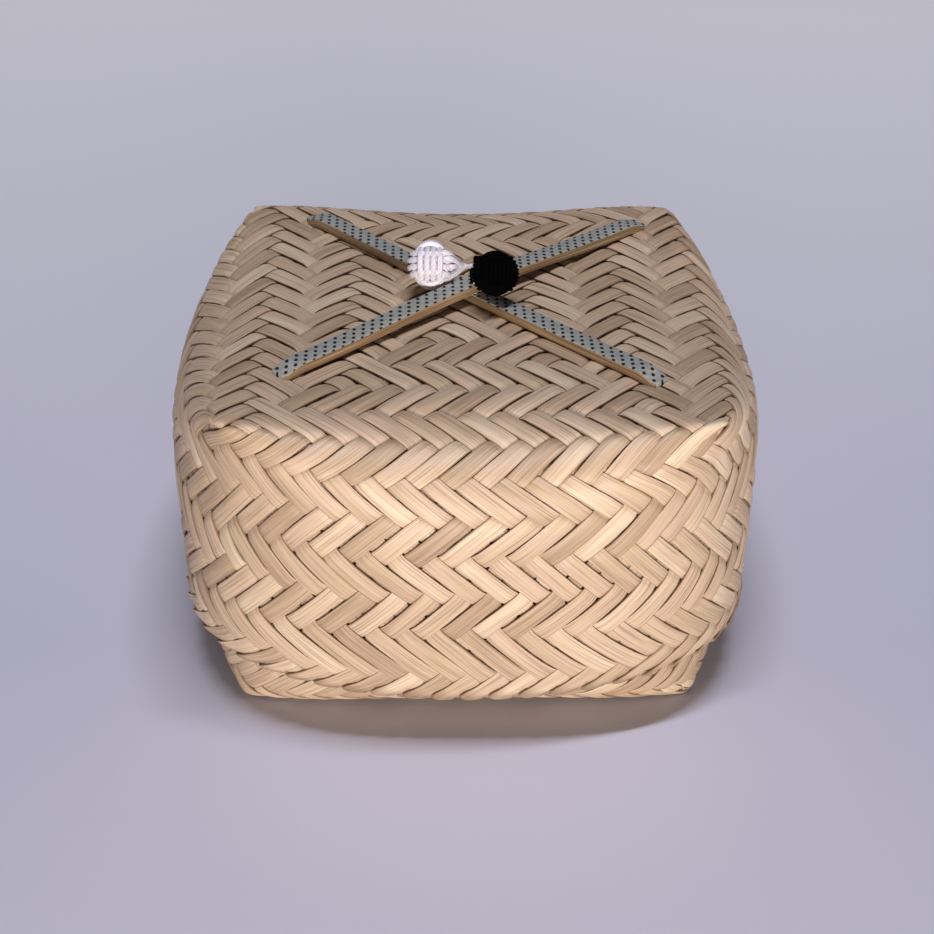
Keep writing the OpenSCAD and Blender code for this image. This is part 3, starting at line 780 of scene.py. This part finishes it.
def dotted_cloth():
    """Grey cotton ribbon with black dots square to the basket, because the ribbon is cut on the bias,
    and a plain weave of 0.35 mm threads, coarser than the real one."""
    material, tree, shader = new_material("dotted_cotton_ribbon", 0.85, Sheen_Weight=0.03)
    place = add(tree, "TexCoord").outputs["Object"]
    cells = scaled(tree, place, 1 / (DOT_PITCH[0] * MM), 1 / (DOT_PITCH[1] * MM), 0)
    part = add(tree, "VectorMath", {0: cells}, operation="FRACTION").outputs[0]
    centred = add(tree, "VectorMath", {0: part, 1: (0.5, 0.5, 0)}, operation="SUBTRACT").outputs[0]
    rounded = scaled(tree, centred, DOT_PITCH[0], DOT_PITCH[1] * DOT_SQUASH, 0)
    reach = add(tree, "VectorMath", {0: rounded}, operation="LENGTH").outputs["Value"]
    rim, core = DOT_RADIUS + 0.05, DOT_RADIUS - 0.05
    dot = add(tree, "MapRange", {0: reach, 1: rim, 2: core, 3: 0.0, 4: 1.0}).outputs[0]
    noise = add(tree, "TexNoise", {"Vector": place, "Scale": 900.0, "Detail": 3.0}).outputs[0]
    grey = ramp(tree, noise, [(0.3, "#91938b"), (0.7, "#adafa6")])
    mixed = add(tree, "Mix", {0: dot, 6: grey, 7: colour("#030304")}, data_type="RGBA").outputs[2]
    tree.links.new(mixed, shader.inputs["Base Color"])
    weave = add(tree, "TexMagic", {"Vector": scaled(tree, place, *(3 * [2600.0])), "Scale": 1.0,
                                   "Distortion": 0.3}, turbulence_depth=1).outputs[1]
    bump = add(tree, "Bump", {"Height": weave, "Distance": 0.05 * MM, "Strength": 0.5})
    tree.links.new(bump.outputs[0], shader.inputs["Normal"])
    return material


ribbon_cloth = dotted_cloth()
print("a dot is", round(2 * DOT_RADIUS, 2), "by", round(2 * DOT_RADIUS / DOT_SQUASH, 2), "mm")

# %% [markdown]
# The slats are planed smooth and are browner than the splints. Each keeps to the lid's top, so the
# lower one is laid first and the upper one arches over it.

# %% Slats and ribbons
SLAT_TONES = [(0, "#6e573e"), (0.5, "#82684a"), (1, "#967b59")]
slat_bamboo = bamboo("planed_bamboo_slat", SLAT_TONES, "#503b29", 0.5, 1.6)
for name, lift in (("lower", 0), ("upper", UPPER_LIFT)):
    strand = slat_strand(SLAT_WAYS[name], lift, SLAT_WIDTH, 0, SLAT_THICKNESS, 0.5)
    bar = strand_mesh(f"{name}_slat_bar", [strand], [slat_bamboo])
    low = SLAT_THICKNESS - RIBBON_SEAT
    strand = slat_strand(SLAT_WAYS[name], lift, RIBBON_WIDTH, low, low + RIBBON_THICKNESS, 0.15, FLAP)
    ribbon = strand_mesh(f"{name}_ribbon", [strand], [ribbon_cloth])
    for piece, node, slot in ((bar, "slat", "slat_bamboo"), (ribbon, "tape", "dotted_ribbon")):
        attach(piece, "lid")
        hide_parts(f"{name}_{node}")

# %% [markdown]
# ## Cords and ball knots
#
# A cord could be a curve with a round bevel. A tube of points made here keeps its running length, so
# that the yarns can wind round it, and its ends can taper. Lines through chosen points are smoothed.

# %% Tubes
def tube(path, radius, up, sides=8, closed=False):
    """A round tube along a path: circles in the plane of up x tangent and its normal. up is a vector,
    or one for each point."""
    path = np.asarray(path, float)
    if closed:
        tangent = unit(np.roll(path, -1, 0) - np.roll(path, 1, 0))
        path, tangent = np.concatenate([path, path[:1]]), np.concatenate([tangent, tangent[:1]])
        up = np.concatenate([up, up[:1]]) if np.ndim(up) > 1 else up
    else:
        tangent = unit(np.gradient(path, axis=0))
    side = unit(np.cross(tangent, up))
    normal = np.cross(side, tangent)
    turn = np.arange(sides) * 2 * np.pi / sides
    radius = np.broadcast_to(radius, len(path))[:, None, None]
    points = path[:, None] + radius * (np.cos(turn)[:, None] * side[:, None]
                                       - np.sin(turn)[:, None] * normal[:, None])
    points = points[:, ::-1]
    run = np.concatenate([[0], np.cumsum(np.linalg.norm(np.diff(path, axis=0), axis=1))])
    uv = np.stack([np.broadcast_to(run[:, None], points.shape[:2]),
                   np.broadcast_to(turn * radius[0, 0, 0], points.shape[:2])], -1)
    return points, uv, rng.uniform(0, 1, 3)


def bent_line(points, count=40):
    """A smooth line through points: a Catmull-Rom curve, which leaves each point towards the next but
    one."""
    p = np.asarray(points, float)
    p = np.concatenate([2 * p[:1] - p[1:2], p, 2 * p[-1:] - p[-2:-1]])
    t = np.linspace(0, len(p) - 3 - 1e-9, count)
    k, t = t.astype(int), (t % 1)[:, None]
    a, b, c, d = p[k], p[k + 1], p[k + 2], p[k + 3]
    square, cube = 2 * a - 5 * b + 4 * c - d, 3 * b - a - 3 * c + d
    return 0.5 * (2 * b + (c - a) * t + square * t**2 + cube * t**3)

# %% [markdown]
# The two knots are ball knots like a monkey's fist: a cord is wound several times round a wooden
# bead in each of three directions, every set of turns passing under the one before. Here each set is
# a few closed loops side by side, whose distance from the bead swells where they lie outside and
# sinks where they dive under the next set.

# %% Wound ball
def wound_ball(centre, facing, overhead, radius, cord, turns, dive, shape=(1, 1, 1), pitch=0.97):
    """Closed loops of cord around a ball in three sets. A loop of a set lies at distance
    sqrt(R^2 - o^2) from its axis, o to the side, less dive times sin^2 where it goes under, and it
    bows aside by a tenth of o. The ball is drawn out or squashed along x, y and z by its shape."""
    f = unit(np.array(facing, float))
    r = unit(np.cross(overhead, f))
    u = np.cross(f, r)
    strands = []
    turn = np.linspace(0, 2 * np.pi, 65)[:-1]
    offsets = (np.arange(turns) - (turns - 1) / 2) * cord * pitch
    # each set: its axis, the way in which it lies outside, and the way in which it dives
    for axis, seen, hidden in ((r, f, u), (u, r, f), (f, u, r)):
        for offset in offsets:
            ring = np.sqrt((radius - cord / 2) ** 2 - offset**2)
            reach = ring - dive * np.sin(turn) ** 2 * (1 - 0.5 * (offset / offsets[-1]) ** 2)
            way = np.cos(turn)[:, None] * seen + np.sin(turn)[:, None] * hidden
            bow = offset * (1 + 0.10 * np.cos(2 * turn))[:, None] * axis
            strands.append(tube(centre + shape * (bow + reach[:, None] * way), cord / 2, way, closed=True))
    return strands

# %% [markdown]
# The white cord is smooth rayon with a slight sheen, and the black one a thinner, matt cotton yarn.
# Both are plied, so fine yarns wind round them. Hair particles could draw each yarn, but from here
# only the slant of the ply shows, which a wave at 45 degrees gives.

# %% Cord finishes
def cord_material(name, ground, shade, roughness, sheen):
    """Plied cord: fine yarns wind around it, as a wave across its run at 45 degrees, 0.5 mm apart. The
    wave's troughs, the grooves between the yarns, take the colour shade as painted shade.
    """
    material, tree, shader = new_material(name, roughness, Sheen_Weight=sheen)
    run = add(tree, "UVMap", uv_map="run").outputs[0]
    wave = add(tree, "TexWave", {"Vector": run, "Scale": 0.42, "Distortion": 0.4}, wave_type="BANDS",
               bands_direction="DIAGONAL").outputs[1]
    # painted shade: the grooves between the yarns are darker
    paint = ramp(tree, wave, [(0.1, shade), (0.6, ground)])
    tree.links.new(paint, shader.inputs["Base Color"])
    bump = add(tree, "Bump", {"Height": wave, "Distance": 0.03 * MM, "Strength": 0.4})
    tree.links.new(bump.outputs[0], shader.inputs["Normal"])
    return material


# each second colour is the painted shade in the grooves between the yarns
white_cord = cord_material("white_rayon_cord", "#e9e6ee", "#dbd6e1", 0.42, 0.1)
black_cord = cord_material("black_cotton_cord", "#040405", "#010101", 0.9, 0.0)
black_cord.node_tree.nodes["Principled BSDF"].inputs["Specular IOR Level"].default_value = 0.03
print("cord finishes:", white_cord.name, "and", black_cord.name)

# %% [markdown]
# The white knot's ends fan out of the ball and are laid together into its neck, which runs to the
# tie at the lashing. The black knot's yarn is finer, so it needs more turns, and its two ends bend
# over to the same tie. Their routes are a few points each, given one by one.

# %% Knots
FACING = (-0.03, -0.84, 0.54)            # forwards and up, the way the knots' middle panels face
UP = np.array([0, 0, 1.0])
WHITE_CENTRE, WHITE_RADIUS = np.array([-12.1, 9.0, 120.6]), 8.6
BLACK_CENTRE, BLACK_RADIUS = np.array([9.8, -1.1, 122.4]), 8.1
TIE = np.array([2.4, 13.2, 117.9])       # where both necks reach the lashing
BLACK_BEND = np.array([3.8, 10.5, 121.0])     # where the black knot's ends bend over to the tie

white = wound_ball(WHITE_CENTRE, FACING, UP, WHITE_RADIUS, 2.05, 4, 2.0, (0.94, 1, 1), 1.08)
neck = unit(TIE - WHITE_CENTRE)
spread = unit(np.cross(UP, neck))
for k, side in enumerate(np.linspace(-1, 1, 6)):         # the fan of six cords
    start = WHITE_CENTRE + 8.1 * unit(neck * 0.7 + UP * side * 0.85 + spread * -0.45)
    middle = WHITE_CENTRE + neck * 11.0 + UP * side * 0.9 + spread * (0.5 if k % 2 else -0.7)
    end = TIE - neck * 1.5 - UP * 0.4 * side
    line = bent_line([start - neck * 3.5 - UP * side, start, middle, end], 24)
    white.append(tube(line, np.linspace(1.1, 0.6, 24), spread))
for side in (-1, 1):                                     # the two cords of the neck
    line = bent_line([WHITE_CENTRE + neck * 9 + UP * side, WHITE_CENTRE + neck * 11.3 - UP * side * 0.5,
                      TIE + UP * side * 0.45], 20)
    white.append(tube(line, 0.62, spread))
white_ball = strand_mesh("white_ball_knot", white, [white_cord])

black = wound_ball(BLACK_CENTRE, FACING, UP, BLACK_RADIUS, 1.3, 9, 1.2, (1.02, 1, 0.94))
for side in (-0.6, 0.6):
    line = bent_line([BLACK_CENTRE + [-3, 4, 1 + side], BLACK_BEND + [0.6, 0, 1 + side],
                      BLACK_BEND + [-0.6, 1.4, side], TIE + [1.9, -0.5, 0.7 + 0.3 * side]], 26)
    black.append(tube(line, 0.6, (0.3, 0.2, 1)))
black_ball = strand_mesh("black_ball_knot", black, [black_cord])

# %% [markdown]
# The lashing is a black and a white strand side by side. Each comes up between the splints behind
# the crossing, lies over the upper slat and goes down a hole that is drilled through both slats. A
# Boolean could cut the hole. The strands fill it and hide it, so they just run through the slats.

# %% Lashing
def lashing(name, x, radius, material):
    """A cord up through the top behind the slats, over the upper slat and down a hole in both."""
    line = bent_line([(x, 14.0, 106.2), (x, 14.0, 112), (x, 13.9, 116.2), (x + 0.1, 12.6, 117.2),
                      (x, 9.0, 117.0), (x, 6.4, 116.85), (x, 4.5, 116.75), (x, 3.7, 116.1),
                      (x, 3.6, 112), (x, 3.6, 106.2)], 60)
    return strand_mesh(name, [tube(line, radius, (1, 0, 0))], [material])


black_lashing = lashing("black_lashing", 2.0, 0.5, black_cord)
white_lashing = lashing("white_lashing", 3.1, 0.6, white_cord)
for piece, body, slot, node in (
        (white_ball, "white_knot", "white_cord", "white_knot"),
        (black_ball, "black_knot", "black_cord", "black_knot"),
        (black_lashing, "lid", "black_cord", "cross_lashing"),
        (white_lashing, "lid", "white_cord", "cross_lashing")):
    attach(piece, body)
    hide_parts(node)

# %% [markdown]
# ## What stays from the CAD
#
# The core hoops in the rims and the beads inside the knots are already the right shape. They keep
# their solids and get a wood finish on Object coordinates: noise stretched along one axis.

# %% Wood of the cores and beads
def plain_wood(name, stops, stretch):
    """Bare wood. stretch is how many grains of noise there are to a metre along X, Y and Z."""
    material, tree, shader = new_material(name, 0.6)
    place = scaled(tree, add(tree, "TexCoord").outputs["Object"], *stretch)
    grain = add(tree, "TexNoise", {"Vector": place, "Scale": 1.0, "Detail": 3.0}).outputs[0]
    tree.links.new(ramp(tree, grain, stops), shader.inputs["Base Color"])
    bump = add(tree, "Bump", {"Height": grain, "Distance": 0.05 * MM, "Strength": 0.5})
    tree.links.new(bump.outputs[0], shader.inputs["Normal"])
    return material


core_wood = plain_wood("split_bamboo_core", [(0.3, "#9a7a4e"), (0.7, "#bb9a69")], (60, 60, 1500))
bead_wood = plain_wood("turned_wood_bead", [(0.3, "#c0a070"), (0.7, "#d9bf92")], (500, 500, 60))
for node, material in (("lid_rim_core", core_wood), ("base_rim_core", core_wood),
                       ("white_knot_bead", bead_wood), ("black_knot_bead", bead_wood)):
    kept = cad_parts[node]
    kept.data.materials.clear()
    kept.data.materials.append(material)
    print(f"{node}: {material.name}")

# %% [markdown]
# ## Floor and light
#
# A plain pale floor runs on behind the basket, its paper a little paler towards the front and the
# back. The light overhead is a long strip from side to side, so the shadow in front is crisp and
# those beside the basket are soft. The lamp in front is a soft box with a grid. It stands low and
# looks up, so it lights the front wall and hardly any floor.

# %% Floor and lights
FLOOR_REACH = 6                        # metres each way
PAPER_FRONT, PAPER_BACK = -0.35, 0.65  # metres along Y between which its paleness changes


def floor_material():
    """Matt pale paper, with a ramp of three tones along Y."""
    material, tree, shader = new_material("pale_paper", 0.8)
    y = add(tree, "SeparateXYZ", {0: add(tree, "TexCoord").outputs["Object"]}).outputs[1]
    back = add(tree, "MapRange", {0: y, 1: PAPER_FRONT, 2: PAPER_BACK}).outputs[0]
    paint = ramp(tree, back, [(0, "#e2e0ea"), (0.3, "#d2d2e0"), (1, "#ffffff")])
    tree.links.new(paint, shader.inputs["Base Color"])
    shader.inputs["Specular IOR Level"].default_value = 0.1
    return material


corners = [(x * FLOOR_REACH, y * FLOOR_REACH, 0) for x, y in ((-1, -1), (1, -1), (1, 1), (-1, 1))]
mesh = bpy.data.meshes.new("floor")
mesh.from_pydata(corners, [], [(0, 1, 2, 3)])
mesh.materials.append(floor_material())
floor = bpy.data.objects.new("floor", mesh)
bpy.context.scene.collection.objects.link(floor)


def soft_light(name, place, target, size, watts, tint, spread=180):
    """A square or oblong area light that faces its target and shines up to half its spread aside."""
    lamp = bpy.data.lights.new(name, "AREA")
    lamp.shape, lamp.size, lamp.size_y = "RECTANGLE", *size
    lamp.energy, lamp.color, lamp.spread = watts, colour(tint)[:3], np.radians(spread)
    light = bpy.data.objects.new(name, lamp)
    light.location = place
    aim = np.array(target) - np.array(place)
    light.rotation_euler = Vector(aim).to_track_quat("-Z", "Y").to_euler()
    bpy.context.scene.collection.objects.link(light)
    print(f"{name} light: {watts} W")


ROOM_LIGHT = 0.06                      # what the rest of the room gives back
soft_light("overhead", (0.03, -0.1, 3.0), (0, 0, 0), (1.5, 0.16), 52, "#f2f1ff")
soft_light("front", (0.12, -1.6, 0.14), (0, 0, 0.5), (1.1, 0.2), 6.7, "#fff4ec", 70)
world = bpy.data.worlds.new("room")
bpy.context.scene.world = world
world.use_nodes = True
world.node_tree.nodes["Background"].inputs[0].default_value = colour("#dcdcf0")
world.node_tree.nodes["Background"].inputs[1].default_value = ROOM_LIGHT
bpy.context.scene.view_settings.view_transform = "Standard"
